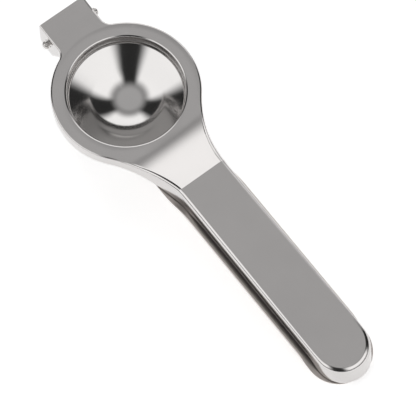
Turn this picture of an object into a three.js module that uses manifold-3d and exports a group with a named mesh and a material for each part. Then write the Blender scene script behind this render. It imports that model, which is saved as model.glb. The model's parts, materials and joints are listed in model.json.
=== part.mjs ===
// Hand-held citrus squeezer of polished stainless-steel sheet.
//
// Two hinged pressings close on each other. The upper one carries a deep press cup and a raised
// channel handle; the lower one carries a perforated strainer cup and a shallow tray handle.
// A pin through two pairs of ears at the far end of the jaws lets the upper jaw swing open.
//
// Everything is drawn first in the jaw frame: X runs from the cup centre along the handles,
// Z is square to the flange, and Z = 0 is the top of the upper flange. The closed tool is then
// turned about Y until it rests on its strainer cup and on the tip of its lower handle.
// Units are millimetres.

import * as THREE from 'three';
import { mergeVertices } from 'three/addons/utils/BufferGeometryUtils.js';
import Module from 'manifold-3d';

const wasm = await Module();
wasm.setup();

// Sheet and fits
const SHEET = 0.9;
const GAP = 0.3;

// Upper jaw, seen from above
const FLANGE_RADIUS = 33;
const HANDLE_HALF_WIDTH = 12.35;
const HANDLE_END_CENTRE = 150.3;
const NECK_FILLET = 60;
const TAB_HALF_WIDTH = 12;
const TAB_END = -47.6;
const TAB_FILLET = 5;

// Upper jaw, seen from the side
const HANDLE_TOP = 7.6;
const RAMP_START = 27;
const RAMP_BEND = 34;
const RAMP_END = 54;
const TAB_CREASE = -40;
const TAB_RISE = 0.9;
const FLANGE_SKIRT_BOTTOM = -6.5;
const HANDLE_SKIRT_BOTTOM = -0.2;
const SKIRT_RISE_START = 45;
const SKIRT_RISE_END = 74;
const END_SKIRT_BOTTOM = -3.2;
const END_SKIRT_DROP_START = 145;
const END_SKIRT_DROP_END = 151;
const END_SKIRT_FLARE = 1.6;
const EAR_BOTTOM = -15;
const EAR_CORNER = 4;
const EAR_NEAR_END = -38.5;

// Opening of the upper flange, with its turned-down collar
const COLLAR_RADIUS = 25.9;
const COLLAR_LIP = 1.2;
const COLLAR_BOTTOM = -3.5;

// Press cup, measured on its inner face
const PRESS_RIM_Z = COLLAR_BOTTOM - GAP;
const PRESS_CORNER_RADIUS = 1.8;
const PRESS_SLOPE = THREE.MathUtils.degToRad(38.2);
const PRESS_CAP_RADIUS = 26.5;
const PRESS_DEPTH_Z = -18.4;

// Hinge
const PIN_X = -41.2;
const PIN_Z = -6.5;
const PIN_RADIUS = 1.75;
const PIN_NECK_RADIUS = 1.35;
const PIN_KNOB_RADIUS = 1.9;
const PIN_HALF_LENGTH = 14.9;
const PIN_KNOB_START = 13;

// Lower jaw
const RING_RADIUS = 31.5;
const RING_TOP = -7.3;
const RING_HOLE_RADIUS = 28.6;
const TRAY_HALF_WIDTH = 14.7;
const TRAY_END_CENTRE = 149;
const TRAY_FILLET = 25;
const TRAY_FLOOR_TOP = -3.9;
const TRAY_RIM_TOP = -1.6;
const TRAY_RAMP_START = 46;
const TRAY_RAMP_END = 62;
const TRAY_WALL_START = 50;
const TRAY_WALL_FULL = 66;
const TRAY_WALL_FADE = 140;
const TRAY_WALL_END = 147;
const LOWER_TAB_HALF_WIDTH = 10.2;
const LOWER_TAB_END = -36;
const LOWER_TAB_FILLET = 1;
const LOWER_EAR_RADIUS = 5;
const LOWER_EAR_ROOT_X = -31;
const LOWER_EAR_ROOT_TOP = -4;

// Strainer cup, measured on its inner face
const STRAINER_RADIUS = 27.4;
const STRAINER_LIP_RADIUS = 30.5;
const STRAINER_FLAT_RADIUS = 9;
const STRAINER_WALL_BOTTOM = -9;
const STRAINER_DEPTH_Z = -28.1;
const DRAIN_HOLE_RADIUS = 1.7;
const DRAIN_HOLE_RINGS = [
  { radius: 0, count: 1 },
  { radius: 6, count: 6 },
  { radius: 12, count: 12 },
  { radius: 17.5, count: 16 },
];

// Facets
const ARC_STEP = THREE.MathUtils.degToRad(6);
const SMALL_ARC_STEP = THREE.MathUtils.degToRad(22.5);
const SMALL_ARC_RADIUS = 6;
const ROUND_SEGMENTS = 48;
const PIN_SEGMENTS = 20;
const CUP_WALL_STEPS = 6;
const CORNER_STEPS = 4;
const HOLE_SEGMENTS = 8;
const FAR = 400;

// ---------------------------------------------------------------- outlines

function arcPoints(centreX, centreY, radius, from, to) {
  const step = radius < SMALL_ARC_RADIUS ? SMALL_ARC_STEP : ARC_STEP;
  const steps = 2 * Math.max(1, Math.round(Math.abs(to - from) / step / 2));
  return Array.from({ length: steps + 1 }, (_, i) => {
    const angle = from + ((to - from) * i) / steps;
    return new THREE.Vector2(centreX + radius * Math.cos(angle), centreY + radius * Math.sin(angle));
  });
}

// Concave corner between the round head and a straight edge parallel to X at height halfWidth.
// side is +1 towards the handle and -1 towards the hinge.
function filletBetween(headRadius, halfWidth, fillet, side) {
  const centreY = halfWidth + fillet;
  const centreX = side * Math.sqrt((headRadius + fillet) ** 2 - centreY ** 2);
  return { centreX, centreY, headAngle: Math.atan2(centreY, centreX) };
}

// Plan of a jaw with its hinge tab and its round-ended handle. An inset moves every edge
// inwards by that much; tabEnd is given apart, so that a hollow can run out through the tab.
function jawPlan(jaw, inset, tabEnd) {
  const head = jaw.headRadius - inset;
  const handle = jaw.handleHalfWidth - inset;
  const tab = jaw.tabHalfWidth - inset;
  const neck = filletBetween(jaw.headRadius, jaw.handleHalfWidth, jaw.neckFillet, 1);
  const heel = filletBetween(jaw.headRadius, jaw.tabHalfWidth, jaw.tabFillet, -1);
  const up = Math.PI / 2;
  const upperHalf = [
    ...arcPoints(jaw.handleEnd, 0, handle, 0, up),
    ...arcPoints(neck.centreX, neck.centreY, jaw.neckFillet + inset, -up, neck.headAngle - Math.PI),
    ...arcPoints(0, 0, head, neck.headAngle, heel.headAngle).slice(1),
    ...arcPoints(heel.centreX, heel.centreY, jaw.tabFillet + inset, heel.headAngle - Math.PI, -up).slice(1),
    new THREE.Vector2(tabEnd, tab),
  ];
  const lowerHalf = upperHalf.slice(1).reverse().map((p) => new THREE.Vector2(p.x, -p.y));
  return new THREE.Shape([...upperHalf, ...lowerHalf]);
}

const UPPER_PLAN = {
  headRadius: FLANGE_RADIUS,
  handleHalfWidth: HANDLE_HALF_WIDTH,
  handleEnd: HANDLE_END_CENTRE,
  neckFillet: NECK_FILLET,
  tabHalfWidth: TAB_HALF_WIDTH,
  tabFillet: TAB_FILLET,
};

const LOWER_PLAN = {
  headRadius: RING_RADIUS,
  handleHalfWidth: TRAY_HALF_WIDTH,
  handleEnd: TRAY_END_CENTRE,
  neckFillet: TRAY_FILLET,
  tabHalfWidth: LOWER_TAB_HALF_WIDTH,
  tabFillet: LOWER_TAB_FILLET,
};

const point = (x, z) => new THREE.Vector2(x, z);

// Top line of the upper pressing from the tab to the handle, moved down by drop.
function upperTopLine(drop) {
  const ramp = new THREE.QuadraticBezierCurve(
    point(RAMP_START, -drop),
    point(RAMP_BEND, -drop),
    point((RAMP_BEND + RAMP_END) / 2, HANDLE_TOP / 2 - drop),
  );
  return [
    point(TAB_END, TAB_RISE - drop),
    point(TAB_CREASE, -drop),
    ...ramp.getPoints(6),
    point(RAMP_END, HANDLE_TOP - drop),
    point(FAR, HANDLE_TOP - drop),
  ];
}

// ---------------------------------------------------------------- solids

function toSolid(geometry) {
  const bare = geometry.clone();
  bare.deleteAttribute('normal');
  bare.deleteAttribute('uv');
  const merged = mergeVertices(bare, 1e-4);
  return new wasm.Manifold(
    new wasm.Mesh({
      numProp: 3,
      vertProperties: new Float32Array(merged.attributes.position.array),
      triVerts: new Uint32Array(merged.index.array),
    }),
  );
}

function toGeometry(solid) {
  const mesh = solid.getMesh();
  const geometry = new THREE.BufferGeometry();
  geometry.setAttribute('position', new THREE.BufferAttribute(new Float32Array(mesh.vertProperties), 3));
  geometry.setIndex(new THREE.BufferAttribute(new Uint32Array(mesh.triVerts), 1));
  geometry.computeVertexNormals();
  return geometry;
}

// A plan in X and Y, as a block between two heights.
function blockUp(shape, bottom, top) {
  const geometry = new THREE.ExtrudeGeometry(shape, { depth: top - bottom, bevelEnabled: false });
  geometry.translate(0, 0, bottom);
  return toSolid(geometry);
}

// A side view in X and Z, as a block between two places across the tool.
function blockAcross(points, fromY, toY) {
  const shape = new THREE.Shape(points);
  const geometry = new THREE.ExtrudeGeometry(shape, { depth: toY - fromY, bevelEnabled: false });
  geometry.rotateX(Math.PI / 2);
  geometry.translate(0, toY, 0);
  return toSolid(geometry);
}

// A section in radius and Z, turned about the cup axis.
function turned(points, segments = ROUND_SEGMENTS) {
  const geometry = new THREE.LatheGeometry(points, segments);
  geometry.rotateX(Math.PI / 2);
  return toSolid(geometry);
}

// A round hole or pin along Z.
function roundUp(radius, bottom, top, segments = ROUND_SEGMENTS) {
  const geometry = new THREE.CylinderGeometry(radius, radius, top - bottom, segments);
  geometry.rotateX(Math.PI / 2);
  geometry.translate(0, 0, (top + bottom) / 2);
  return toSolid(geometry);
}

// The hole through a pair of ears for the hinge pin.
function pinHole() {
  const geometry = new THREE.CylinderGeometry(PIN_RADIUS + GAP, PIN_RADIUS + GAP, FAR, PIN_SEGMENTS);
  geometry.translate(PIN_X, 0, PIN_Z);
  return toSolid(geometry);
}

// ---------------------------------------------------------------- upper jaw

// Side view of the upper pressing: ears at the hinge, a deep skirt round the head and the neck,
// and a shallow one along the handle.
function upperSideView() {
  const earCorner = arcPoints(TAB_END + EAR_CORNER, EAR_BOTTOM + EAR_CORNER, EAR_CORNER, Math.PI, 1.5 * Math.PI);
  return [
    ...earCorner,
    point(EAR_NEAR_END, EAR_BOTTOM),
    point(-FLANGE_RADIUS, FLANGE_SKIRT_BOTTOM),
    point(SKIRT_RISE_START, FLANGE_SKIRT_BOTTOM),
    point(SKIRT_RISE_END, HANDLE_SKIRT_BOTTOM),
    point(END_SKIRT_DROP_START, HANDLE_SKIRT_BOTTOM),
    point(END_SKIRT_DROP_END, END_SKIRT_BOTTOM),
    point(FAR, END_SKIRT_BOTTOM),
    ...upperTopLine(0).reverse(),
  ];
}

function upperHollowView() {
  const top = upperTopLine(SHEET);
  top[0] = point(-FAR, TAB_RISE - SHEET + ((TAB_END + FAR) * TAB_RISE) / (TAB_CREASE - TAB_END));
  return [point(-FAR, -FAR), point(FAR, -FAR), ...top.reverse()];
}

// Turned-down collar round the opening, with a rounded lip.
function collar() {
  const outer = COLLAR_RADIUS + SHEET;
  const lipCentre = COLLAR_RADIUS + COLLAR_LIP;
  const lip = arcPoints(lipCentre, -COLLAR_LIP, COLLAR_LIP, Math.PI, Math.PI / 2);
  const outside = [
    point(lipCentre + SHEET, 0),
    point(lipCentre + SHEET, -SHEET),
    point(outer + GAP, -SHEET),
    point(outer, -SHEET - GAP),
    point(outer, COLLAR_BOTTOM),
  ];
  const section = [point(COLLAR_RADIUS, COLLAR_BOTTOM), ...lip, ...outside].reverse();
  return turned([...section, section[0]]);
}

// Round end of the upper handle, whose foot stands out past its top. An inset moves its wall
// inwards by that much.
function flaredEnd(inset, bottom, top) {
  const slice = 0.01;
  const radius = HANDLE_HALF_WIDTH - inset;
  const flareAt = (z) => (END_SKIRT_FLARE * (HANDLE_TOP - z)) / (HANDLE_TOP - END_SKIRT_BOTTOM);
  const rounds = [bottom, top - slice].map((z) => (
    roundUp(radius, z, z + slice).translate([HANDLE_END_CENTRE + flareAt(z), 0, 0])
  ));
  return wasm.Manifold.hull(rounds);
}

function upperJaw() {
  const plan = blockUp(jawPlan(UPPER_PLAN, 0, TAB_END), -FAR, FAR);
  const hollowPlan = blockUp(jawPlan(UPPER_PLAN, SHEET, -FAR), -FAR, FAR);
  const pastHandle = roundUp(FAR, -FAR, FAR).translate([HANDLE_END_CENTRE + FAR, 0, 0]);
  const end = flaredEnd(0, END_SKIRT_BOTTOM, HANDLE_TOP).intersect(pastHandle);
  const outside = plan.intersect(blockAcross(upperSideView(), -FAR, FAR)).add(end);
  const hollow = hollowPlan
    .intersect(blockAcross(upperHollowView(), -FAR, FAR))
    .add(flaredEnd(SHEET, END_SKIRT_BOTTOM - GAP, HANDLE_TOP - SHEET));
  const opening = roundUp(COLLAR_RADIUS + COLLAR_LIP, -FAR, FAR);
  return outside.subtract(hollow).subtract(opening).add(collar()).subtract(pinHole());
}

// ---------------------------------------------------------------- press cup

// Wall of a pressed cup: the inner section, listed from the rim down to the axis, after the same
// section moved out by the sheet, listed from the axis up to the rim.
function cupSection(inner) {
  const outer = inner.map((p, i) => {
    const before = inner[Math.max(i - 1, 0)];
    const after = inner[Math.min(i + 1, inner.length - 1)];
    const along = after.clone().sub(before).normalize();
    if (p.x === 0) return point(0, p.y - SHEET);
    return point(p.x - along.y * SHEET, p.y + along.x * SHEET);
  });
  return [...outer.reverse(), ...inner];
}

function pressCup() {
  const radius = COLLAR_RADIUS - GAP;
  const down = -Math.PI / 2;
  const cap = arcPoints(0, PRESS_DEPTH_Z + PRESS_CAP_RADIUS, PRESS_CAP_RADIUS, down + PRESS_SLOPE, down);
  cap[cap.length - 1].x = 0;
  // The cone runs up from the cap to the corner, which ends upright at the wall.
  const cornerFoot = radius - PRESS_CORNER_RADIUS * (1 - Math.sin(PRESS_SLOPE));
  const coneTop = cap[0].y + (cornerFoot - cap[0].x) * Math.tan(PRESS_SLOPE);
  const cornerZ = coneTop + PRESS_CORNER_RADIUS * Math.cos(PRESS_SLOPE);
  const corner = Array.from({ length: CORNER_STEPS + 1 }, (_, i) => {
    const angle = -(i / CORNER_STEPS) * (Math.PI / 2 - PRESS_SLOPE);
    const centre = radius - PRESS_CORNER_RADIUS;
    return point(centre + PRESS_CORNER_RADIUS * Math.cos(angle), cornerZ + PRESS_CORNER_RADIUS * Math.sin(angle));
  });
  return turned(cupSection([point(radius, PRESS_RIM_Z), ...corner, ...cap]));
}

// ---------------------------------------------------------------- lower jaw

function trayFloorLine(drop) {
  return [
    point(TRAY_RAMP_START, RING_TOP - drop),
    point(TRAY_RAMP_END, TRAY_FLOOR_TOP - drop),
    point(FAR, TRAY_FLOOR_TOP - drop),
  ];
}

// Side view of the lower pressing: a flat ring that ramps up into a tray with low walls.
function lowerSideView() {
  const wallStart = RING_TOP + ((TRAY_WALL_START - TRAY_RAMP_START) * (TRAY_FLOOR_TOP - RING_TOP))
    / (TRAY_RAMP_END - TRAY_RAMP_START);
  return [
    point(-FAR, RING_TOP - SHEET),
    ...trayFloorLine(SHEET),
    point(FAR, TRAY_FLOOR_TOP),
    point(TRAY_WALL_END, TRAY_FLOOR_TOP),
    point(TRAY_WALL_FADE, TRAY_RIM_TOP),
    point(TRAY_WALL_FULL, TRAY_RIM_TOP),
    point(TRAY_WALL_START, wallStart),
    point(TRAY_RAMP_START, RING_TOP),
    point(-FAR, RING_TOP),
  ];
}

// One ear of the lower jaw, standing on the edge of its tab and rounded about the pin.
function lowerEar(fromY) {
  const round = arcPoints(PIN_X, PIN_Z, LOWER_EAR_RADIUS, Math.PI / 2, 1.5 * Math.PI);
  const outline = [
    point(LOWER_EAR_ROOT_X, RING_TOP - SHEET),
    point(LOWER_EAR_ROOT_X, LOWER_EAR_ROOT_TOP),
    ...round,
  ];
  return blockAcross(outline, fromY, fromY + SHEET);
}

function lowerJaw() {
  const plan = blockUp(jawPlan(LOWER_PLAN, 0, LOWER_TAB_END), -FAR, FAR);
  const trayPlan = blockUp(jawPlan(LOWER_PLAN, SHEET, LOWER_TAB_END), -FAR, FAR);
  const hollowView = [...trayFloorLine(0), point(FAR, FAR), point(TRAY_RAMP_START, FAR)];
  const hollow = trayPlan.intersect(blockAcross(hollowView, -FAR, FAR));
  const sheet = plan.intersect(blockAcross(lowerSideView(), -FAR, FAR)).subtract(hollow);
  const ears = lowerEar(LOWER_TAB_HALF_WIDTH - SHEET).add(lowerEar(-LOWER_TAB_HALF_WIDTH));
  return sheet.subtract(roundUp(RING_HOLE_RADIUS, -FAR, FAR)).add(ears).subtract(pinHole());
}

// ---------------------------------------------------------------- strainer cup

function strainerInnerSection() {
  const depth = STRAINER_WALL_BOTTOM - STRAINER_DEPTH_Z;
  const reach = STRAINER_RADIUS - STRAINER_FLAT_RADIUS;
  const lipTop = RING_TOP + GAP + SHEET;
  const curve = Array.from({ length: CUP_WALL_STEPS + 1 }, (_, i) => {
    const angle = (i / CUP_WALL_STEPS) * (Math.PI / 2);
    return point(STRAINER_FLAT_RADIUS + reach * Math.cos(angle), STRAINER_WALL_BOTTOM - depth * Math.sin(angle));
  });
  return [point(STRAINER_LIP_RADIUS, lipTop), point(STRAINER_RADIUS, lipTop), ...curve, point(0, STRAINER_DEPTH_Z)];
}

function strainerOuterSection() {
  const depth = STRAINER_WALL_BOTTOM - STRAINER_DEPTH_Z + SHEET;
  const reach = STRAINER_RADIUS - STRAINER_FLAT_RADIUS + SHEET;
  const lipBottom = RING_TOP + GAP;
  const curve = Array.from({ length: CUP_WALL_STEPS + 1 }, (_, i) => {
    const angle = (1 - i / CUP_WALL_STEPS) * (Math.PI / 2);
    return point(STRAINER_FLAT_RADIUS + reach * Math.cos(angle), STRAINER_WALL_BOTTOM - depth * Math.sin(angle));
  });
  const outer = STRAINER_RADIUS + SHEET;
  return [point(0, STRAINER_DEPTH_Z - SHEET), ...curve, point(outer, lipBottom), point(STRAINER_LIP_RADIUS, lipBottom)];
}

function drainHoles() {
  const holes = DRAIN_HOLE_RINGS.flatMap(({ radius, count }) =>
    Array.from({ length: count }, (_, i) => {
      const angle = (2 * Math.PI * (i + 0.5)) / count;
      const hole = roundUp(DRAIN_HOLE_RADIUS, -FAR, RING_TOP, HOLE_SEGMENTS);
      return hole.translate([radius * Math.cos(angle), radius * Math.sin(angle), 0]);
    }),
  );
  return wasm.Manifold.union(holes);
}

function strainerCup() {
  const inner = strainerInnerSection();
  const outer = strainerOuterSection();
  const axisToAxis = [...outer, ...inner];
  return turned(axisToAxis).subtract(drainHoles());
}

// ---------------------------------------------------------------- hinge pin

// Plain shaft with a short neck and a domed knob outside each upper ear.
function hingePin() {
  const shaftEnd = TAB_HALF_WIDTH + GAP;
  const dome = arcPoints(0, PIN_HALF_LENGTH - PIN_KNOB_RADIUS, PIN_KNOB_RADIUS, 0, Math.PI / 2);
  dome[dome.length - 1].x = 0;
  const half = [
    point(PIN_RADIUS, shaftEnd),
    point(PIN_NECK_RADIUS, shaftEnd),
    point(PIN_NECK_RADIUS, PIN_KNOB_START - GAP),
    ...dome,
  ];
  const otherHalf = half.slice().reverse().map((p) => point(p.x, -p.y));
  const geometry = new THREE.LatheGeometry([...otherHalf, ...half], PIN_SEGMENTS);
  geometry.translate(PIN_X, 0, PIN_Z);
  return toSolid(geometry);
}

// ---------------------------------------------------------------- assembly

function steel(colour, roughness) {
  return new THREE.MeshStandardMaterial({ color: colour, roughness, metalness: 1 });
}

function named(name, solid, material) {
  const mesh = new THREE.Mesh(toGeometry(solid), material);
  mesh.name = name;
  return mesh;
}

// Angle at which the tool rests on its strainer cup and on the tip of its lower handle.
function restingTilt() {
  const tipX = TRAY_END_CENTRE + TRAY_HALF_WIDTH;
  const tipZ = TRAY_FLOOR_TOP - SHEET;
  return Math.max(...strainerOuterSection().map((p) => Math.atan2(tipZ - p.y, tipX - p.x)));
}

const jaws = new THREE.Group();
jaws.add(named('upper_jaw', upperJaw(), steel('#c4c1be', 0.12)));
jaws.add(named('press_cup', pressCup(), steel('#d2d0ce', 0.08)));
jaws.add(named('lower_jaw', lowerJaw(), steel('#bebbb8', 0.14)));
jaws.add(named('strainer_cup', strainerCup(), steel('#cac8c6', 0.12)));
jaws.add(named('hinge_pin', hingePin(), steel('#b4b2b0', 0.2)));
jaws.rotation.y = restingTilt();

// The origin is the middle of the footprint, on the surface that the tool rests on.
const squeezer = new THREE.Group();
squeezer.add(jaws);
squeezer.updateMatrixWorld(true);
const extent = new THREE.Box3().setFromObject(jaws, true);
const middle = extent.getCenter(new THREE.Vector3());
jaws.position.set(-middle.x, -middle.y, -extent.min.z);

export default squeezer;
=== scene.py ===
"""Hand-held citrus squeezer of polished stainless-steel sheet, closed, on a pale floor.

The shapes are worked out in the jaw frame, in millimetres: X runs from the cup axis along the
handles, Y across the tool, Z is square to the flange, and Z = 0 is the top of the upper flange.
place() turns them into the row frame, in metres.
"""

import json
import math

import bmesh
import bpy
import numpy as np
from mathutils import Matrix, Vector


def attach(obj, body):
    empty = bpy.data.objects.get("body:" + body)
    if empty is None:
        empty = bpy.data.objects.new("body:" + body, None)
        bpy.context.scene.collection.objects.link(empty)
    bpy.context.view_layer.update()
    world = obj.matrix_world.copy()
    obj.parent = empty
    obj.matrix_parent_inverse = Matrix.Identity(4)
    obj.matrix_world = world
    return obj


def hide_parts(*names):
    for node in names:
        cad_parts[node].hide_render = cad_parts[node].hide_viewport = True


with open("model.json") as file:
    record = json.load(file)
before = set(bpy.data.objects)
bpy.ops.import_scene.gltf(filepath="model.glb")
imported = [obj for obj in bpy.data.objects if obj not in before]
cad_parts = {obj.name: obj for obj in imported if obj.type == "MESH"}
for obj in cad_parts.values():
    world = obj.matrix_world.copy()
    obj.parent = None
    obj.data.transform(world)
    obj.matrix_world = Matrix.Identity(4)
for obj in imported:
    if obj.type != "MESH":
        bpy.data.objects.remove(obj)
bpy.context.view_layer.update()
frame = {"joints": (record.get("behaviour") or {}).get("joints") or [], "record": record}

MM = 0.001

# ------------------------------------------------------------------ driving dimensions, mm

SHEET = 0.9

# Upper jaw
FLANGE_RADIUS = 32.99
TAB_HALF_WIDTH = 12.0
TAB_END = -47.54
TAB_FILLET = 5.0
TAB_CREASE = -40.0
TAB_RISE = 0.9
NECK_FILLET = 60.0
HANDLE_HALF_WIDTH = 12.35
HANDLE_END_CENTRE = 150.3
HANDLE_TOP = 7.6
RAMP_START = 27.0
RAMP_BEND = 34.0
RAMP_END = 54.0
FLANGE_BEND = 1.0
NECK_BEND = 1.85
HANDLE_BEND = 1.25
FLANGE_SKIRT_BOTTOM = -6.5
HANDLE_SKIRT_BOTTOM = -0.2
SKIRT_RISE_START = 45.0
SKIRT_RISE_END = 74.0
END_SKIRT_BOTTOM = -3.2
END_SKIRT_DROP_START = 145.0
END_SKIRT_DROP_END = 151.0
END_SKIRT_FLARE = 1.6
END_BEND = 2.1
HANDLE_EDGE_DEGREES = 14.0
FLANGE_CROWN = 0.1
EAR_BOTTOM = -15.0
EAR_CORNER = 4.0
EAR_NEAR_END = -38.5
COLLAR_RADIUS = 25.9
COLLAR_LIP = 1.2
COLLAR_BOTTOM = -3.5
OPENING_RADIUS = COLLAR_RADIUS + COLLAR_LIP

# Press cup, on its inner face
PRESS_RADIUS = 25.6
PRESS_RIM_Z = -3.8
PRESS_CORNER_RADIUS = 1.8
PRESS_SLOPE_DEGREES = 38.2
PRESS_CAP_RADIUS = 26.5
PRESS_DEPTH_Z = -18.4

# Hinge
PIN_X = -41.2
PIN_Z = -6.5
PIN_RADIUS = 1.75
PIN_NECK_RADIUS = 1.2
PIN_KNOB_RADIUS = 1.9
PIN_KNOB_START = 12.9
PIN_KNOB_FOOT = 0.45
PIN_KNOB_CORNER = 0.12
PIN_KNOB_SIDE = 0.4
PIN_DOME_START = 0.5
PIN_CHAMFER = 0.15
PIN_HALF_LENGTH = 14.9
EAR_HOLE_RADIUS = 2.05

# Lower jaw
RING_RADIUS = 31.5
RING_TOP = -7.3
RING_HOLE_RADIUS = 28.6
RING_BEND = 0.3
TRAY_HALF_WIDTH = 14.7
TRAY_END_CENTRE = 149.0
TRAY_FILLET = 25.0
TRAY_FLOOR_TOP = -3.9
TRAY_RIM_TOP = -1.6
TRAY_BEND = 1.3
TRAY_RAMP_START = 46.0
TRAY_RAMP_END = 62.0
TRAY_WALL_START = 50.0
TRAY_WALL_FULL = 66.0
TRAY_WALL_FADE = 140.0
TRAY_WALL_END = 147.0
LOWER_TAB_HALF_WIDTH = 10.2
LOWER_TAB_END = -36.0
LOWER_TAB_FILLET = 1.0
LOWER_EAR_RADIUS = 5.0
LOWER_EAR_ROOT_X = -31.0
LOWER_EAR_ROOT_TOP = -4.0

# Strainer cup, on its inner face
STRAINER_RADIUS = 27.4
STRAINER_LIP_RADIUS = 30.5
STRAINER_FLAT_RADIUS = 9.0
STRAINER_WALL_BOTTOM = -9.0
STRAINER_DEPTH_Z = -27.96
STRAINER_LIP_TOP = -6.1
STRAINER_LIP_BEND = 1.0
DRAIN_HOLE_RADIUS = 1.7
# Radius of each ring of drain holes, and how many holes it has.
DRAIN_HOLE_RINGS = ((0.0, 1), (6.0, 6), (12.0, 12), (17.5, 16))

# Rounding of the sheet's cut edges
EDGE_ROUNDING = 0.12
DRAIN_EDGE_ROUNDING = 0.1

# ------------------------------------------------------------------ the jaw frame in the row frame


def jaw_axes():
    """Origin and axes of the jaw frame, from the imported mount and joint."""
    mounts = {m["name"]: m for m in frame["record"]["mounts"]}
    up = Vector(mounts["upper_grip_face"]["axis"]).normalized()
    across = Vector((0.0, 1.0, 0.0))
    along = across.cross(up)
    hinge = Vector(frame["joints"][0]["pos_m"])
    origin = hinge - (along * PIN_X + up * PIN_Z) * MM
    return origin, along, across, up


JAW_ORIGIN, JAW_X, JAW_Y, JAW_Z = jaw_axes()
TILT = math.atan2(JAW_Z.x, JAW_Z.z)


def place(points):
    """Points of the jaw frame, in mm, as points of the row frame, in metres."""
    axes = np.array([JAW_X, JAW_Y, JAW_Z])
    return np.asarray(points) * MM @ axes + np.array(JAW_ORIGIN)


# ------------------------------------------------------------------ small helpers


def ramp(x, start, end):
    """0 before start and 1 after end, with a straight line in between."""
    return np.clip((x - start) / (end - start), 0.0, 1.0)


def smooth(x, start, end):
    """0 before start and 1 after end, with a smooth step in between."""
    t = ramp(x, start, end)
    return t * t * (3 - 2 * t)


def arc(centre, radius, start, end, steps):
    angle = np.linspace(start, end, steps + 1)
    return np.stack([centre[0] + radius * np.cos(angle), centre[1] + radius * np.sin(angle)], 1)


def line(start, end, steps):
    return np.linspace(np.array(start, float), np.array(end, float), steps + 1)


def eased(start, end, steps):
    """Numbers from start to end, closer together near both."""
    return start + (end - start) * (1 - np.cos(np.linspace(0, math.pi, steps + 1))) / 2


# ------------------------------------------------------------------ meshes

WELD_DISTANCE = 2e-6
SHORTEST_EDGE = 1e-7
SHARP_DEGREES = 35.0
CUT_EDGE_DEGREES = 50.0


def add_grid(bm, grid, flip=False):
    """Quads between the rows and columns of a grid of points."""
    rows = [[bm.verts.new(p) for p in place(row)] for row in grid]
    for a, b in zip(rows, rows[1:]):
        for i in range(len(a) - 1):
            quad = (a[i], a[i + 1], b[i + 1], b[i])
            bm.faces.new(quad[::-1] if flip else quad)


def add_shell(bm, outer, inner, rims):
    """A sheet between two matching grids, closed along the rims first, last, start or end."""
    add_grid(bm, outer)
    add_grid(bm, inner, flip=True)
    edges = {
        "first": (outer[0], inner[0]),
        "last": (outer[-1], inner[-1]),
        "start": (outer[:, 0], inner[:, 0]),
        "end": (outer[:, -1], inner[:, -1]),
    }
    for rim in rims:
        add_grid(bm, np.stack(edges[rim]))


def mirrored(grid):
    return grid * np.array([1.0, -1.0, 1.0])


def on_circle(points, radius):
    """Which points lie on a circle about the cup axis."""
    tolerance = 1e-6
    return np.abs(np.hypot(points[:, 0], points[:, 1]) - radius) < tolerance


def add_prism(bm, first, second):
    """A prism between two matching outlines."""
    sides = [[bm.verts.new(p) for p in place(outline)] for outline in (first, second)]
    for side in sides:
        bm.faces.new(side)
    for i in range(len(first)):
        j = (i + 1) % len(first)
        bm.faces.new((sides[0][i], sides[0][j], sides[1][j], sides[1][i]))


def finish_mesh(bm, name):
    """Welds the grids, faces everything outwards and makes the object."""
    bmesh.ops.remove_doubles(bm, verts=bm.verts, dist=WELD_DISTANCE)
    bmesh.ops.dissolve_degenerate(bm, edges=bm.edges, dist=SHORTEST_EDGE)
    bmesh.ops.recalc_face_normals(bm, faces=bm.faces)
    mesh = bpy.data.meshes.new(name)
    bm.to_mesh(mesh)
    bm.free()
    mesh.shade_smooth()
    mesh.set_sharp_from_angle(angle=math.radians(SHARP_DEGREES))
    piece = bpy.data.objects.new(name, mesh)
    bpy.context.scene.collection.objects.link(piece)
    return piece


def turned(bm, section, segments):
    """A closed section in radius and Z, turned about the cup axis."""
    angles = np.linspace(0, 2 * math.pi, segments + 1)
    grid = [[(r * math.cos(a), r * math.sin(a), z) for r, z in section] for a in angles]
    add_grid(bm, np.array(grid))


def turned_across(bm, section, segments=64):
    """A section in radius and Y, turned about the pin's axis."""
    angles = np.linspace(0, 2 * math.pi, segments + 1)
    grid = []
    for a in angles:
        grid.append([(PIN_X + r * math.cos(a), y, PIN_Z + r * math.sin(a)) for r, y in section])
    add_grid(bm, np.array(grid))


def apply_modifiers(piece):
    """Turns the object's modified shape into its own mesh."""
    graph = bpy.context.evaluated_depsgraph_get()
    mesh = bpy.data.meshes.new_from_object(piece.evaluated_get(graph))
    old = piece.data
    piece.modifiers.clear()
    piece.data = mesh
    mesh.name = piece.name
    bpy.data.meshes.remove(old)


def combine(piece, tool, operation):
    """Joins the tool to the piece or cuts it out, and removes the tool."""
    modifier = piece.modifiers.new("combine", "BOOLEAN")
    modifier.operation = operation
    modifier.solver = "EXACT"
    modifier.object = tool
    apply_modifiers(piece)
    bpy.data.objects.remove(tool)


def soften_edges(piece, width=EDGE_ROUNDING):
    """Rounds the cut edges of the sheet by a small radius."""
    modifier = piece.modifiers.new("edges", "BEVEL")
    modifier.width = width * MM
    modifier.segments = 2
    modifier.limit_method = "ANGLE"
    modifier.angle_limit = math.radians(CUT_EDGE_DEGREES)
    modifier.harden_normals = False
    apply_modifiers(piece)
    piece.data.shade_smooth()
    piece.data.set_sharp_from_angle(angle=math.radians(SHARP_DEGREES))


def pin_hole_tool(radius):
    bm = bmesh.new()
    reach = 3 * TAB_HALF_WIDTH
    turned_across(bm, [(0, -reach), (radius, -reach), (radius, reach), (0, reach)])
    return finish_mesh(bm, "pin_hole_tool")


# ------------------------------------------------------------------ jaw outlines


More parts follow.
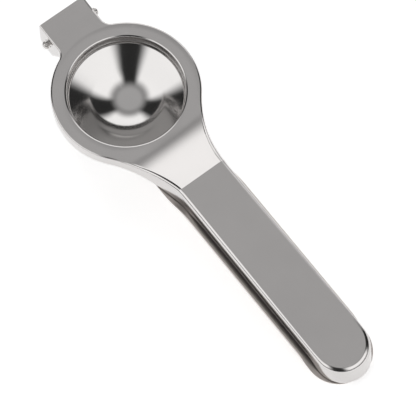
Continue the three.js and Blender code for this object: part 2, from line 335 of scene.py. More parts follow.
def fillet_between(head_radius, half_width, fillet, side):
    """Centre of the concave corner between the head and a straight edge, and its angle from X."""
    y = half_width + fillet
    x = side * math.sqrt((head_radius + fillet) ** 2 - y**2)
    return (x, y), math.atan2(y, x)


def outline_normals(points):
    """Inward normals of an outline that runs clockwise seen from above."""
    along = np.gradient(points, axis=0)
    along /= np.linalg.norm(along, axis=1)[:, None]
    return np.stack([along[:, 1], -along[:, 0]], 1)


def half_outline(jaw):
    """One side of a jaw's plan from the tab's end to the handle's end: the points of its edge,
    their inward normals, and the matching points of its spine, which follows the middle line
    and goes round the opening."""
    neck, neck_angle = fillet_between(jaw["head"], jaw["handle"], jaw["neck_fillet"], 1)
    heel, heel_angle = fillet_between(jaw["head"], jaw["tab"], jaw["tab_fillet"], -1)
    hole = jaw["hole"]
    quarter = math.pi / 2

    tab_x = jaw["tab_stations"](jaw["tab_end"], heel[0])
    tab = np.stack([tab_x, np.full_like(tab_x, jaw["tab"])], 1)
    tab_spine = np.stack([tab_x, np.zeros_like(tab_x)], 1)

    heel_steps = 24
    heel_arc = arc(heel, jaw["tab_fillet"], -quarter, heel_angle - math.pi, heel_steps)
    to_hole = line((heel[0], 0), (-hole, 0), heel_steps // 2)
    heel_turn = arc((0, 0), hole, math.pi, heel_angle, heel_steps // 2)
    heel_spine = np.concatenate([to_hole, heel_turn[1:]])

    head_steps = 110
    head_arc = arc((0, 0), jaw["head"], heel_angle, neck_angle, head_steps)
    head_spine = arc((0, 0), hole, heel_angle, neck_angle, head_steps)

    beside = math.acos((neck[0] - hole) / jaw["neck_fillet"])
    beside_angle = -math.pi + beside
    turn_steps = 36
    turn_arc = arc(neck, jaw["neck_fillet"], neck_angle - math.pi, beside_angle, turn_steps)
    turn_spine = arc((0, 0), hole, neck_angle, 0, turn_steps)

    neck_x = jaw["neck_stations"](hole, neck[0])
    neck_y = neck[1] - np.sqrt(jaw["neck_fillet"] ** 2 - (neck[0] - neck_x) ** 2)
    neck_arc = np.stack([neck_x, neck_y], 1)
    neck_spine = np.stack([neck_x, np.zeros_like(neck_x)], 1)

    grip_points = 80
    grip_x = np.linspace(neck[0], jaw["handle_end"], grip_points)
    grip = np.stack([grip_x, np.full_like(grip_x, jaw["handle"])], 1)
    grip_spine = np.stack([grip_x, np.zeros_like(grip_x)], 1)

    end_steps = 40
    end_arc = arc((jaw["handle_end"], 0), jaw["handle"], quarter, 0, end_steps)
    spine_reach = 0.6 * jaw["handle"]
    end_spine = line((jaw["handle_end"], 0), (jaw["handle_end"] + spine_reach, 0), end_steps)

    edge_parts = [tab, heel_arc, head_arc, turn_arc, neck_arc, grip, end_arc]
    spine_parts = [tab_spine, heel_spine, head_spine, turn_spine, neck_spine, grip_spine, end_spine]
    edge = np.concatenate([edge_parts[0]] + [p[1:] for p in edge_parts[1:]])
    spine = np.concatenate([spine_parts[0]] + [p[1:] for p in spine_parts[1:]])
    normals = outline_normals(edge)
    normals[0] = (0, -1)
    normals[-1] = (-1, 0)
    return edge, normals, spine


# ------------------------------------------------------------------ upper jaw


def near_crease(start, end, crease, steps):
    """Stations from start to end, with close ones on both sides of a crease."""
    fold = 0.35
    before = np.linspace(start, crease - fold, max(2, round(steps * (crease - start) / (end - start))))
    after = np.linspace(crease + fold, end, max(2, round(steps * (end - crease) / (end - start))))
    return np.concatenate([before, [crease - fold / 3, crease + fold / 3], after])


def tab_stations(start, end):
    """Stations along the hinge tab, close together at its end and at its crease."""
    near_end = start + (end - start) * np.array([0, 0.004, 0.012, 0.025])
    return np.concatenate([near_end, near_crease(start + 0.6, end, TAB_CREASE, 34)])


def neck_stations(start, end):
    """Stations along the neck, close together where the ramp meets the handle."""
    return near_crease(start, end, RAMP_END, 70)


UPPER = {
    "head": FLANGE_RADIUS,
    "handle": HANDLE_HALF_WIDTH,
    "handle_end": HANDLE_END_CENTRE,
    "neck_fillet": NECK_FILLET,
    "tab": TAB_HALF_WIDTH,
    "tab_end": TAB_END,
    "tab_fillet": TAB_FILLET,
    "hole": OPENING_RADIUS,
    "tab_stations": tab_stations,
    "neck_stations": neck_stations,
}


def upper_top(x):
    """Height of the upper pressing along its middle line."""
    tab = TAB_RISE * (TAB_CREASE - x) / (TAB_CREASE - TAB_END)
    middle = (RAMP_BEND + RAMP_END) / 2
    # The foot of the ramp is a quadratic curve that ends tangent to the straight part. x falls at
    # the share t of it.
    a = RAMP_START - 2 * RAMP_BEND + middle
    b = 2 * (RAMP_BEND - RAMP_START)
    c = RAMP_START - np.clip(x, RAMP_START, middle)
    t = (-b + np.sqrt(b * b - 4 * a * c)) / (2 * a)
    curved = HANDLE_TOP / 2 * t * t
    straight = HANDLE_TOP / 2 + (x - middle) * (HANDLE_TOP / 2) / (RAMP_END - middle)
    rising = np.where(x < middle, curved, np.minimum(straight, HANDLE_TOP))
    return np.where(x < TAB_CREASE, tab, rising)


def upper_skirt_bottom(x):
    """Height of the lower edge of the skirt and the ears."""
    corner_x = TAB_END + EAR_CORNER
    corner = EAR_BOTTOM + EAR_CORNER - np.sqrt(np.maximum(EAR_CORNER**2 - (corner_x - x) ** 2, 0))
    slant = EAR_BOTTOM + (FLANGE_SKIRT_BOTTOM - EAR_BOTTOM) * ramp(x, EAR_NEAR_END, -FLANGE_RADIUS)
    rise = (HANDLE_SKIRT_BOTTOM - FLANGE_SKIRT_BOTTOM) * smooth(x, SKIRT_RISE_START, SKIRT_RISE_END)
    drop = (END_SKIRT_BOTTOM - HANDLE_SKIRT_BOTTOM) * smooth(x, END_SKIRT_DROP_START, END_SKIRT_DROP_END)
    return np.where(x < corner_x, corner, slant + rise + drop)


def end_flare(x, height):
    """How far the foot of the handle's round end stands out along the handle."""
    share = (HANDLE_TOP - height) / (HANDLE_TOP - END_SKIRT_BOTTOM)
    start = HANDLE_END_CENTRE - 4
    full = HANDLE_END_CENTRE + 2
    return END_SKIRT_FLARE * share * smooth(x, start, full)


def upper_bend(x):
    """Radius of the bend between the top and the skirt."""
    to_neck = (NECK_BEND - FLANGE_BEND) * smooth(x, RAMP_START, RAMP_END)
    to_end = (HANDLE_BEND - NECK_BEND) * ramp(x, RAMP_END, HANDLE_END_CENTRE)
    round_start = HANDLE_END_CENTRE - 6
    round_full = HANDLE_END_CENTRE + 8
    round_end = (END_BEND - HANDLE_BEND) * smooth(x, round_start, round_full)
    return FLANGE_BEND + to_neck + to_end + round_end


def upper_edge_angle(x):
    """Angle at which the bend meets the flat top, in radians: none on the flange."""
    start = RAMP_END - 8
    full = RAMP_END + 2
    return math.radians(HANDLE_EDGE_DEGREES) * smooth(x, start, full)


def upper_crown(points):
    """Slight swelling of the flange between its outer bend and the opening."""
    radius = np.hypot(points[..., 0], points[..., 1])
    share = ramp(radius, OPENING_RADIUS, FLANGE_RADIUS - FLANGE_BEND)
    fade_reach = 6
    fade = 1 - smooth(points[..., 0], RAMP_START - fade_reach, RAMP_START + fade_reach)
    return FLANGE_CROWN * np.sin(math.pi * share) * fade


SKIRT_ROWS = 10
BEND_ROWS = 10
TOP_ROWS = 30
FIRST_TOP_ROW = 0.012
NEXT_TOP_ROW = 0.03
TIGHTEST_INNER_BEND = 0.05


def upper_sheet():
    """Outer and inner grids of one half of the upper pressing, from the skirt to the spine."""
    edge, normals, spine = half_outline(UPPER)
    bend = upper_bend(edge[:, 0])
    meeting = upper_edge_angle(edge[:, 0])
    top = upper_top(edge[:, 0])
    bottom = upper_skirt_bottom(edge[:, 0])
    radius = bend / (1 - np.sin(meeting))
    drop = radius * np.cos(meeting)
    outer_rows, inner_rows = [], []

    def row(offset, height, inner_offset, inner_height):
        for rows, o, h in ((outer_rows, offset, height), (inner_rows, inner_offset, inner_height)):
            plan = edge + normals * np.reshape(o, (-1, 1))
            plan[:, 0] += end_flare(edge[:, 0], h)
            rows.append(np.column_stack([plan, h]))

    for share in np.linspace(0, 1, SKIRT_ROWS, endpoint=False):
        height = bottom + (top - drop - bottom) * share
        row(np.zeros_like(top), height, np.full_like(top, SHEET), height)
    inner_radius = np.maximum(radius - SHEET, TIGHTEST_INNER_BEND)
    for share in np.linspace(0, 1, BEND_ROWS + 1):
        angle = (math.pi / 2 - meeting) * share
        offset = radius * (1 - np.cos(angle))
        lift = radius * np.sin(angle)
        row(
            offset,
            top - drop + lift,
            radius - inner_radius * np.cos(angle),
            top - drop + inner_radius * np.sin(angle),
        )
    inside = edge + normals * bend[:, None]
    shares = np.concatenate([[FIRST_TOP_ROW], eased(NEXT_TOP_ROW, 1.0, TOP_ROWS)])
    for share in shares:
        plan = inside + (spine - inside) * share
        height = upper_top(plan[:, 0]) + upper_crown(plan)
        outer_rows.append(np.column_stack([plan, height]))
        inner_rows.append(np.column_stack([plan, height - SHEET]))
    return np.array(outer_rows), np.array(inner_rows)


def collar_sections():
    """Outer and inner faces of the rounded lip and the collar, in radius and Z."""
    centre = (OPENING_RADIUS, -COLLAR_LIP)
    down = line((0, -COLLAR_LIP), (0, COLLAR_BOTTOM), 6)[1:, 1]
    outer_lip = arc(centre, COLLAR_LIP, math.pi / 2, math.pi, 12)
    inner_lip = arc(centre, COLLAR_LIP - SHEET, math.pi / 2, math.pi, 12)
    outer = np.concatenate([outer_lip, np.column_stack([np.full(len(down), COLLAR_RADIUS), down])])
    inner_radius = COLLAR_RADIUS + SHEET
    inner = np.concatenate([inner_lip, np.column_stack([np.full(len(down), inner_radius), down])])
    return outer, inner


def make_upper_jaw():
    bm = bmesh.new()
    outer, inner = upper_sheet()
    add_shell(bm, outer, inner, ["first", "start"])
    add_shell(bm, mirrored(outer), mirrored(inner), ["first", "start"])
    spine = outer[-1]
    around = spine[on_circle(spine, OPENING_RADIUS)]
    angles = np.arctan2(around[:, 1], around[:, 0])
    for side in (1, -1):
        grids = []
        for section in collar_sections():
            grid = [[(r * math.cos(a), side * r * math.sin(a), z) for a in angles] for r, z in section]
            grids.append(np.array(grid))
        add_shell(bm, grids[0], grids[1], ["last"])
    piece = finish_mesh(bm, "upper_pressing")
    combine(piece, pin_hole_tool(EAR_HOLE_RADIUS), "DIFFERENCE")
    soften_edges(piece)
    return piece


# ------------------------------------------------------------------ press cup


def offset_section(section, distance):
    """The section moved sideways by a distance, to its right."""
    along = np.gradient(section, axis=0)
    along /= np.linalg.norm(along, axis=1)[:, None]
    moved = section + distance * np.stack([along[:, 1], -along[:, 0]], 1)
    on_axis = np.abs(section[:, 0]) < 1e-9
    moved[on_axis, 0] = 0
    return moved


def press_section():
    """Inner face of the press cup from its rim to the axis: an upright wall, a rounded corner, a
    cone and a domed bottom."""
    slope = math.radians(PRESS_SLOPE_DEGREES)
    cap_centre = (0, PRESS_DEPTH_Z + PRESS_CAP_RADIUS)
    cap = arc(cap_centre, PRESS_CAP_RADIUS, slope - math.pi / 2, -math.pi / 2, 60)
    cap[-1, 0] = 0
    corner_x = PRESS_RADIUS - PRESS_CORNER_RADIUS
    corner_foot = corner_x + PRESS_CORNER_RADIUS * math.sin(slope)
    cone_top = cap[0, 1] + (corner_foot - cap[0, 0]) * math.tan(slope)
    corner_z = cone_top + PRESS_CORNER_RADIUS * math.cos(slope)
    corner = arc((corner_x, corner_z), PRESS_CORNER_RADIUS, 0, slope - math.pi / 2, 24)
    cone = line(corner[-1], cap[0], 24)
    wall = line((PRESS_RADIUS, PRESS_RIM_Z), corner[0], 6)
    return np.concatenate([wall[:-1], corner[:-1], cone[:-1], cap])


def make_press_cup():
    inner = press_section()
    outer = offset_section(inner, -SHEET)
    corner_z = PRESS_RIM_Z - EDGE_ROUNDING
    outer_corner = (PRESS_RADIUS + SHEET - EDGE_ROUNDING, corner_z)
    inner_corner = (PRESS_RADIUS + EDGE_ROUNDING, corner_z)
    outer_rim = arc(outer_corner, EDGE_ROUNDING, 0, math.pi / 2, 4)
    inner_rim = arc(inner_corner, EDGE_ROUNDING, math.pi / 2, math.pi, 4)
    section = np.concatenate([outer[::-1][:-1], outer_rim, inner_rim, inner[1:]])
    bm = bmesh.new()
    turned(bm, section, 256)
    return finish_mesh(bm, "press_bowl")


# ------------------------------------------------------------------ lower jaw

LOWER = {
    "head": RING_RADIUS,
    "handle": TRAY_HALF_WIDTH,
    "handle_end": TRAY_END_CENTRE,
    "neck_fillet": TRAY_FILLET,
    "tab": LOWER_TAB_HALF_WIDTH,
    "tab_end": LOWER_TAB_END,
    "tab_fillet": LOWER_TAB_FILLET,
    "hole": RING_HOLE_RADIUS,
    "tab_stations": lambda start, end: np.linspace(start, end, 8),
    "neck_stations": lambda start, end: np.linspace(start, end, 30),
}


def tray_floor(x):
    """Height of the upper face of the lower pressing."""
    return RING_TOP + (TRAY_FLOOR_TOP - RING_TOP) * smooth(x, TRAY_RAMP_START, TRAY_RAMP_END)


def tray_wall(x):
    """How much of the tray's wall stands: none on the ring or at the end, all along the handle."""
    return smooth(x, TRAY_WALL_START, TRAY_WALL_FULL) * (1 - smooth(x, TRAY_WALL_FADE, TRAY_WALL_END))


def tray_rim(x):
    """Height of the top of the tray's wall: level with the floor on the ring."""
    return tray_floor(x) + (TRAY_RIM_TOP - TRAY_FLOOR_TOP) * tray_wall(x)


TRAY_WALL_ROWS = 6
TRAY_BEND_ROWS = 8
TRAY_FLOOR_ROWS = 24


def lower_sheet():
    """Outer and inner grids of one half of the lower pressing, from the rim to the spine. The
    outer grid is the underside and the outside of the wall."""
    edge, normals, spine = half_outline(LOWER)
    x = edge[:, 0]
    floor = tray_floor(x)
    rim = tray_rim(x)
    under = floor - SHEET
    bend = RING_BEND + (TRAY_BEND - RING_BEND) * tray_wall(x)
    inner_bend = np.maximum(bend - SHEET, 0.0)
    outer_rows, inner_rows = [], []

    def add(rows, offset, height):
        plan = edge + normals * np.reshape(offset, (-1, 1))
        rows.append(np.column_stack([plan, height]))

    for share in np.linspace(0, 1, TRAY_WALL_ROWS, endpoint=False):
        add(outer_rows, np.zeros_like(x), rim + (under + bend - rim) * share)
        add(inner_rows, np.full_like(x, SHEET), rim + (floor + inner_bend - rim) * share)
    for angle in np.linspace(0, math.pi / 2, TRAY_BEND_ROWS + 1):
        aside = 1 - math.cos(angle)
        above = 1 - math.sin(angle)
        add(outer_rows, bend * aside, under + bend * above)
        add(inner_rows, SHEET + inner_bend * aside, floor + inner_bend * above)
    outer_inside = edge + normals * bend[:, None]
    inner_inside = edge + normals * (SHEET + inner_bend)[:, None]
    for share in np.linspace(0, 1, TRAY_FLOOR_ROWS + 1)[1:]:
        for rows, inside, drop in ((outer_rows, outer_inside, SHEET), (inner_rows, inner_inside, 0)):
            plan = inside + (spine - inside) * share
            rows.append(np.column_stack([plan, tray_floor(plan[:, 0]) - drop]))
    return np.array(outer_rows), np.array(inner_rows)


def lower_ear(from_y):
    """One ear of the lower jaw, rounded about the pin, as a plate across the tool."""
    round_end = arc((PIN_X, PIN_Z), LOWER_EAR_RADIUS, math.pi / 2, 1.5 * math.pi, 40)
    root = [(LOWER_EAR_ROOT_X, RING_TOP - SHEET), (LOWER_EAR_ROOT_X, LOWER_EAR_ROOT_TOP)]
    outline = np.concatenate([root, round_end])
    bm = bmesh.new()
    add_prism(bm, *[[(x, y, z) for x, z in outline] for y in (from_y, from_y + SHEET)])
    return finish_mesh(bm, "lower_ear_tool")


def make_lower_jaw():
    bm = bmesh.new()
    outer, inner = lower_sheet()
    add_shell(bm, outer, inner, ["first", "start"])
    add_shell(bm, mirrored(outer), mirrored(inner), ["first", "start"])
    around = on_circle(outer[-1], RING_HOLE_RADIUS)
    hole_edge = np.stack([outer[-1][around], inner[-1][around]])
    add_grid(bm, hole_edge)
    add_grid(bm, mirrored(hole_edge))
    piece = finish_mesh(bm, "lower_pressing")
    for from_y in (LOWER_TAB_HALF_WIDTH - SHEET, -LOWER_TAB_HALF_WIDTH):
        combine(piece, lower_ear(from_y), "UNION")
    combine(piece, pin_hole_tool(EAR_HOLE_RADIUS), "DIFFERENCE")
    soften_edges(piece)
    return piece


# ------------------------------------------------------------------ strainer cup


def strainer_face(grow, lip_z):
    """One face of the strainer cup from its lip to the axis, moved outwards by grow."""
    reach = STRAINER_RADIUS - STRAINER_FLAT_RADIUS + grow
    depth = STRAINER_WALL_BOTTOM - STRAINER_DEPTH_Z + grow
    angle = np.linspace(0, math.pi / 2, 49)
    wall_x = STRAINER_FLAT_RADIUS + reach * np.cos(angle)
    wall = np.column_stack([wall_x, STRAINER_WALL_BOTTOM - depth * np.sin(angle)])
    corner = STRAINER_LIP_BEND if grow else STRAINER_LIP_BEND + SHEET
    radius = STRAINER_RADIUS + grow
    lip_x = radius + (corner - SHEET if grow else corner)
    bend = lip_x - radius
    turn = arc((lip_x, lip_z - bend), bend, math.pi / 2, math.pi, 8)
    lip = line((STRAINER_LIP_RADIUS, lip_z), (lip_x, lip_z), 4)[:-1]
    flat = line((STRAINER_FLAT_RADIUS, wall[-1, 1]), (0, wall[-1, 1]), 12)[1:]
    return np.concatenate([lip, turn, wall, flat])


def drain_hole_tool():
    """A rod through each drain hole."""
    low = STRAINER_DEPTH_Z - 5
    high = RING_TOP
    bm = bmesh.new()
    for ring, count in DRAIN_HOLE_RINGS:
        for i in range(count):
            turn = 2 * math.pi * (i + 0.5) / count
            centre = np.array([ring * math.cos(turn), ring * math.sin(turn)])
            circle = arc(centre, DRAIN_HOLE_RADIUS, 0, 2 * math.pi, 32)[:-1]
            add_prism(bm, *[[(x, y, z) for x, y in circle] for z in (low, high)])
    return finish_mesh(bm, "drain_hole_tool")


def make_strainer_cup():
    inner = strainer_face(0.0, STRAINER_LIP_TOP)
    outer = strainer_face(SHEET, STRAINER_LIP_TOP - SHEET)
    section = np.concatenate([outer[::-1], inner])
    bm = bmesh.new()
    turned(bm, section, 192)
    piece = finish_mesh(bm, "strainer_bowl")
    combine(piece, drain_hole_tool(), "DIFFERENCE")
    soften_edges(piece, DRAIN_EDGE_ROUNDING)
    return piece


# ------------------------------------------------------------------ hinge pin


def make_hinge_pin():
    """Shaft with a neck and a domed knob outside each ear."""
    neck_start = TAB_HALF_WIDTH
    dome = PIN_HALF_LENGTH - PIN_KNOB_START
    shaft = [
        (PIN_RADIUS, neck_start - PIN_CHAMFER),
        (PIN_RADIUS - PIN_CHAMFER, neck_start),
        (PIN_NECK_RADIUS, neck_start),
        (PIN_NECK_RADIUS, PIN_KNOB_START),
    ]
    knob = [
        (PIN_KNOB_RADIUS - PIN_KNOB_FOOT, PIN_KNOB_START),
        (PIN_KNOB_RADIUS - PIN_KNOB_CORNER, PIN_KNOB_START + PIN_KNOB_CORNER),
        (PIN_KNOB_RADIUS, PIN_KNOB_START + PIN_KNOB_SIDE),
    ]
    crown = []
    for a in np.linspace(0, math.pi / 2, 12):
        height = PIN_KNOB_START + PIN_DOME_START + (dome - PIN_DOME_START) * math.sin(a)
        crown.append((PIN_KNOB_RADIUS * math.cos(a), height))
    crown[-1] = (0.0, PIN_HALF_LENGTH)
    half = shaft + knob + crown
    other = [(r, -y) for r, y in half[::-1]]
    bm = bmesh.new()
    turned_across(bm, other + half)
    return finish_mesh(bm, "hinge_rivet")


# ------------------------------------------------------------------ node helpers


class Nodes:
    """Short names for the nodes that the materials and the studio light are made of."""

    def __init__(self, tree):
        self.tree = tree

    def add(self, kind, inputs=None, **settings):
        node = self.tree.nodes.new("ShaderNode" + kind)
        for name, value in settings.items():
            setattr(node, name, value)
        for key, value in (inputs or {}).items():
            if isinstance(value, bpy.types.NodeSocket):
                self.tree.links.new(value, node.inputs[key])
            else:
                node.inputs[key].default_value = value
        return node

    def math(self, operation, *values):
        return self.add("Math", dict(enumerate(values)), operation=operation).outputs[0]

    def vector(self, operation, *values):
        node = self.add("VectorMath", dict(enumerate(values)), operation=operation)
        return node.outputs["Value" if operation == "LENGTH" else "Vector"]

    def range(self, value, from_min, from_max, to_min=0.0, to_max=1.0, kind="SMOOTHSTEP"):
        inputs = {0: value, 1: from_min, 2: from_max, 3: to_min, 4: to_max}
        return self.add("MapRange", inputs, interpolation_type=kind).outputs[0]

    def mix(self, factor, first, second):
        node = self.add("Mix", {0: factor, 6: first, 7: second}, data_type="RGBA")
        return node.outputs[2]

    def noise(self, vector, scale, detail=2.0, roughness=0.5):
        inputs = {"Vector": vector, "Scale": scale, "Detail": detail, "Roughness": roughness}
        return self.add("TexNoise", inputs).outputs["Fac"]


# ------------------------------------------------------------------ materials

# Noise scales are per metre; the shares are what each mark adds to the roughness or the tone.
GRAIN_SCALE = 1500.0
GRAIN_ALONG_SCALE = 14.0
GRAIN_STRENGTH = 0.5
GRAIN_TONE = 0.25
BUMP_DISTANCE = 0.000002
CLOUD_SCALE = 38.0
CLOUD_TONES = (0.3, 0.7)
CLOUD_DULLING = 0.05
CLEAREST_DULLING = -0.03
WIPE_SCALES = (60.0, 190.0, 120.0)
WIPE_DULLING = 0.03
SCRATCH_TURN = 0.55
SCRATCH_SCALES = (40.0, 2600.0, 900.0)
SCRATCH_LIMITS = (0.66, 0.74)
SCRATCH_DULLING = 0.06
SCRATCH_DEPTH = -0.8
WORN_EDGE_LIMITS = (0.515, 0.58)
WORN_EDGE_DULLING = 0.05
DARKER = 0.95
LIGHTER = 1.03


def jaw_coordinates(nodes):
    """A point of the surface in the jaw frame, in metres."""
    position = nodes.add("TexCoord").outputs["Object"]
    moved = nodes.vector("SUBTRACT", position, tuple(JAW_ORIGIN))
    turn = nodes.add("VectorRotate", {"Vector": moved, "Angle": -TILT}, rotation_type="Y_AXIS")
    return turn.outputs["Vector"]


def lengthwise_grain(nodes, point):
    """Fine polishing lines along the handles."""
    scales = (GRAIN_ALONG_SCALE, GRAIN_SCALE, GRAIN_SCALE)
    stretched = nodes.vector("MULTIPLY", point, scales)
    return nodes.noise(stretched, 1.0, 3.0, 0.6)


def turned_grain(nodes, point):
    """Fine turned rings about the cup axis."""
    flat = nodes.vector("MULTIPLY", point, (1.0, 1.0, 0.0))
    radius = nodes.vector("LENGTH", flat)
    split = nodes.add("SeparateXYZ", {0: point})
    turn = nodes.math("ARCTAN2", split.outputs[1], split.outputs[0])
    scaled = nodes.math("MULTIPLY", radius, GRAIN_SCALE)
    height = nodes.math("MULTIPLY", split.outputs[2], GRAIN_SCALE)
    ring = nodes.add("CombineXYZ", {0: scaled, 1: height, 2: turn}).outputs[0]
    return nodes.noise(ring, 1.0, 3.0, 0.6)


def polished_steel(name, colour, roughness, grain):
    """Polished stainless steel with fine grain, wiping marks, small scratches and worn edges."""
    material = bpy.data.materials.new(name)
    material.use_nodes = True
    tree = material.node_tree
    shader = tree.nodes["Principled BSDF"]
    nodes = Nodes(tree)
    point = jaw_coordinates(nodes)
    lines = grain(nodes, point)

    clouds = nodes.noise(point, CLOUD_SCALE, 4.0, 0.55)
    wipes = nodes.noise(nodes.vector("MULTIPLY", point, WIPE_SCALES), 1.0, 5.0, 0.6)
    scratch_turn = {"Vector": point, "Angle": SCRATCH_TURN}
    scratch_path = nodes.add("VectorRotate", scratch_turn, rotation_type="Z_AXIS")
    stretched = nodes.vector("MULTIPLY", scratch_path.outputs["Vector"], SCRATCH_SCALES)
    scratches = nodes.range(nodes.noise(stretched, 1.0, 2.0, 0.5), *SCRATCH_LIMITS)
    edges = nodes.range(nodes.add("NewGeometry").outputs["Pointiness"], *WORN_EDGE_LIMITS)

    dull = nodes.math("MULTIPLY_ADD", clouds, CLOUD_DULLING, roughness + CLEAREST_DULLING)
    dull = nodes.math("MULTIPLY_ADD", wipes, WIPE_DULLING, dull)
    dull = nodes.math("MULTIPLY_ADD", scratches, SCRATCH_DULLING, dull)
    dull = nodes.math("MULTIPLY_ADD", edges, WORN_EDGE_DULLING, dull)
    tree.links.new(dull, shader.inputs["Roughness"])

    darker = tuple(DARKER * c for c in colour)
    lighter = tuple(min(1.0, LIGHTER * c) for c in colour)
    tone = nodes.mix(nodes.range(clouds, *CLOUD_TONES), (*darker, 1), (*colour, 1))
    tone = nodes.mix(nodes.math("MULTIPLY", lines, GRAIN_TONE), tone, (*darker, 1))
    tone = nodes.mix(edges, tone, (*lighter, 1))
    tree.links.new(tone, shader.inputs["Base Color"])

    height = nodes.math("MULTIPLY_ADD", scratches, SCRATCH_DEPTH, lines)
    relief = {"Strength": GRAIN_STRENGTH, "Distance": BUMP_DISTANCE, "Height": height}
    bump = nodes.add("Bump", relief)
    tree.links.new(bump.outputs[0], shader.inputs["Normal"])
    shader.inputs["Metallic"].default_value = 1.0
    return material


# ------------------------------------------------------------------ the object

pieces = {
    "upper_jaw": (make_upper_jaw(), "upper_half"),
    "press_cup": (make_press_cup(), "upper_half"),
    "lower_jaw": (make_lower_jaw(), "lower_half"),
    "strainer_cup": (make_strainer_cup(), "lower_half"),
    "hinge_pin": (make_hinge_pin(), "lower_half"),
}
FINISHES = {
    "upper_jaw": polished_steel("upper_jaw_steel", (0.67, 0.65, 0.64), 0.12, lengthwise_grain),
    "press_cup": polished_steel("press_cup_steel", (0.67, 0.655, 0.645), 0.09, turned_grain),
    "lower_jaw": polished_steel("lower_jaw_steel", (0.68, 0.63, 0.6), 0.3, lengthwise_grain),
    "strainer_cup": polished_steel("strainer_cup_steel", (0.66, 0.645, 0.635), 0.16, turned_grain),
    "hinge_pin": polished_steel("hinge_pin_steel", (0.62, 0.6, 0.585), 0.18, turned_grain),
}
for node, (piece, body) in pieces.items():
    piece.data.materials.append(FINISHES[node])
    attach(piece, body)
    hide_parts(node)

# ------------------------------------------------------------------ stage

# The camera, from its aim, in the jaw frame: angles in degrees, distance and aim in mm.
CAMERA_AZIMUTH = -37.55
CAMERA_ELEVATION = 68.0
CAMERA_DISTANCE = 1400.0
CAMERA_AIM = (57.0, 1.2, -18.0)
CAMERA_ROLL = 0.17
CAMERA_LENS = 278.8
CAMERA_CLIP_START = 0.05
CAMERA_CLIP_END = 20

FLOOR_REACH = 2.0
FLOOR_TONE = 0.86
FLOOR_GLOW = 0.55

# A plain studio: equal softboxes spaced evenly round a dim room, under an even ceiling. Angles are
# directions from the tool, in degrees.
SOFTBOX_COUNT = 3
SOFTBOX_FIRST_AZIMUTH = 20.0
SOFTBOX_HALF_WIDTH = 38.0
SOFTBOX_BOTTOM = 12.0
SOFTBOX_TOP = 56.0
SOFTBOX_EDGE = 10.0
SOFTBOX_BRIGHTNESS = 1.3
CEILING_START = 62.0
CEILING_BRIGHTNESS = 0.5
ROOM_BRIGHTNESS = 0.03
BACKDROP_BRIGHTNESS = 0.97


def grey(brightness):
    return (brightness, brightness, brightness, 1)


def camera_place():
    """Place of the camera in the jaw frame."""
    azimuth = math.radians(CAMERA_AZIMUTH)
    elevation = math.radians(CAMERA_ELEVATION)
    level = math.cos(elevation)
    back = np.array([math.cos(azimuth) * level, math.sin(azimuth) * level, math.sin(elevation)])
    return np.array(CAMERA_AIM) + CAMERA_DISTANCE * back


def make_camera():
    eye, aim = place([camera_place(), np.array(CAMERA_AIM)])
    data = bpy.data.cameras.new("camera")
    data.lens = CAMERA_LENS
    camera = bpy.data.objects.new("camera", data)
    camera.location = Vector(eye)
    forward = (Vector(aim) - Vector(eye)).normalized()
    right = forward.cross(JAW_Z).normalized()
    up = right.cross(forward)
    roll = math.radians(CAMERA_ROLL)
    rolled_right = right * math.cos(roll) + up * math.sin(roll)
    rolled_up = up * math.cos(roll) - right * math.sin(roll)
    turn = Matrix((rolled_right, rolled_up, -forward)).transposed()
    camera.rotation_mode = "QUATERNION"
    camera.rotation_quaternion = turn.to_quaternion()
    data.clip_start = CAMERA_CLIP_START
    data.clip_end = CAMERA_CLIP_END
    bpy.context.scene.collection.objects.link(camera)
    bpy.context.scene.camera = camera


def make_floor():
    bm = bmesh.new()
    for x, y in ((-1, -1), (1, -1), (1, 1), (-1, 1)):
        bm.verts.new((x * FLOOR_REACH, y * FLOOR_REACH, 0))
    bm.faces.new(bm.verts)
    mesh = bpy.data.meshes.new("floor")
    bm.to_mesh(mesh)
    bm.free()
    floor = bpy.data.objects.new("floor", mesh)
    bpy.context.scene.collection.objects.link(floor)
    material = bpy.data.materials.new("floor_white")
    material.use_nodes = True
    shader = material.node_tree.nodes["Principled BSDF"]
    shader.inputs["Base Color"].default_value = grey(FLOOR_TONE)
    shader.inputs["Emission Color"].default_value = grey(1)
    shader.inputs["Emission Strength"].default_value = FLOOR_GLOW
    floor.data.materials.append(material)


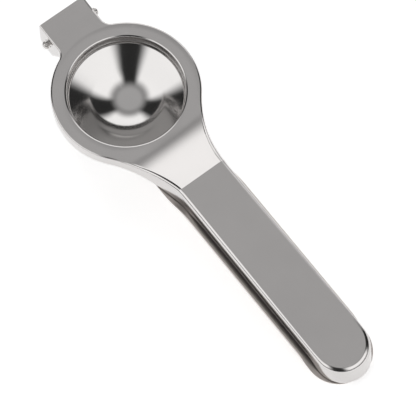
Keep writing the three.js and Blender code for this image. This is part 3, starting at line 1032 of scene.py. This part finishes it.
def softbox_mask(nodes, azimuth, elevation, middle):
    """1 where a direction meets the softbox and 0 outside it, with soft edges."""
    aside = nodes.math("WRAP", nodes.math("SUBTRACT", azimuth, middle), 180.0, -180.0)
    across = nodes.math("ABSOLUTE", aside)
    inner = SOFTBOX_HALF_WIDTH - SOFTBOX_EDGE
    outer = SOFTBOX_HALF_WIDTH + SOFTBOX_EDGE
    mask = nodes.range(across, inner, outer, 1.0, 0.0)
    above = nodes.range(elevation, SOFTBOX_BOTTOM - SOFTBOX_EDGE, SOFTBOX_BOTTOM + SOFTBOX_EDGE)
    below = nodes.range(elevation, SOFTBOX_TOP - SOFTBOX_EDGE, SOFTBOX_TOP + SOFTBOX_EDGE, 1.0, 0.0)
    return nodes.math("MULTIPLY", mask, nodes.math("MULTIPLY", above, below))


def make_studio():
    world = bpy.data.worlds.new("studio")
    world.use_nodes = True
    nodes = Nodes(world.node_tree)
    ray = nodes.add("SeparateXYZ", {0: nodes.add("TexCoord").outputs["Generated"]}).outputs
    azimuth = nodes.math("DEGREES", nodes.math("ARCTAN2", ray[1], ray[0]))
    elevation = nodes.math("DEGREES", nodes.math("ARCSINE", ray[2]))
    ceiling = nodes.range(elevation, CEILING_START - SOFTBOX_EDGE, CEILING_START + SOFTBOX_EDGE)
    light = nodes.mix(ceiling, grey(ROOM_BRIGHTNESS), grey(CEILING_BRIGHTNESS))
    for i in range(SOFTBOX_COUNT):
        middle = SOFTBOX_FIRST_AZIMUTH + i * 360.0 / SOFTBOX_COUNT
        mask = softbox_mask(nodes, azimuth, elevation, middle)
        light = nodes.mix(mask, light, grey(SOFTBOX_BRIGHTNESS))
    # Straight from the camera the studio is a pale backdrop. Reflections show the lights.
    seen = nodes.add("LightPath").outputs["Is Camera Ray"]
    light = nodes.mix(seen, light, grey(BACKDROP_BRIGHTNESS))
    background = world.node_tree.nodes["Background"]
    world.node_tree.links.new(light, background.inputs["Color"])
    bpy.context.scene.world = world


make_camera()
make_floor()
make_studio()
bpy.context.scene.view_settings.view_transform = "Standard"
